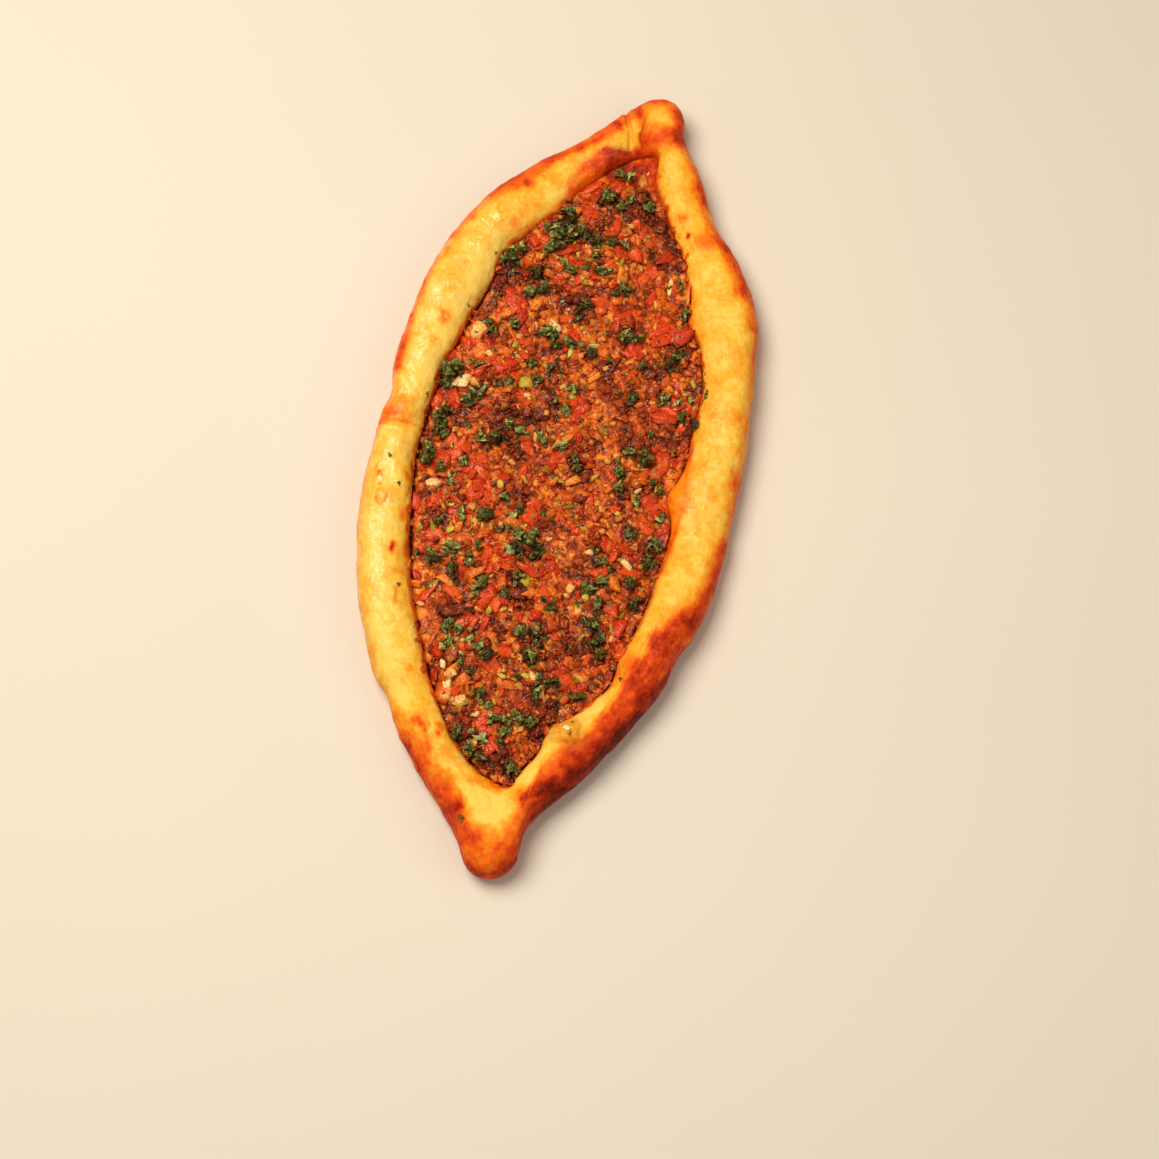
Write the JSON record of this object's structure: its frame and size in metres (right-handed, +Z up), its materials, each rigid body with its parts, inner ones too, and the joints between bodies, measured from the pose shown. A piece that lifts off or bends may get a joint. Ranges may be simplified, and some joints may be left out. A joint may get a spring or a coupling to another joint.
{
  "type": "turkish pide",
  "caption": "Boat-shaped open flatbread with a puffy rolled rim pinched to a tip at each end, filled with a heap of minced meat, vegetables and parsley.",
  "frame": {"origin": "on the table under the middle of the bread, where the flat sole rests", "axes": "+Y along the bread towards the knobbed tip, +Z up out of the filling"},
  "size_m": [0.167, 0.38, 0.0225],
  "materials": {
    "baked_dough": "egg-washed bread crust, golden on the crest and red-brown on the outer side, softly glossy",
    "meat_filling": "cooked minced meat with diced tomato, pepper and onion and chopped parsley, moist and slightly oily"
  },
  "bodies": {
    "root": {"crust": "baked_dough", "filling": "meat_filling"}
  },
  "joints": []
}
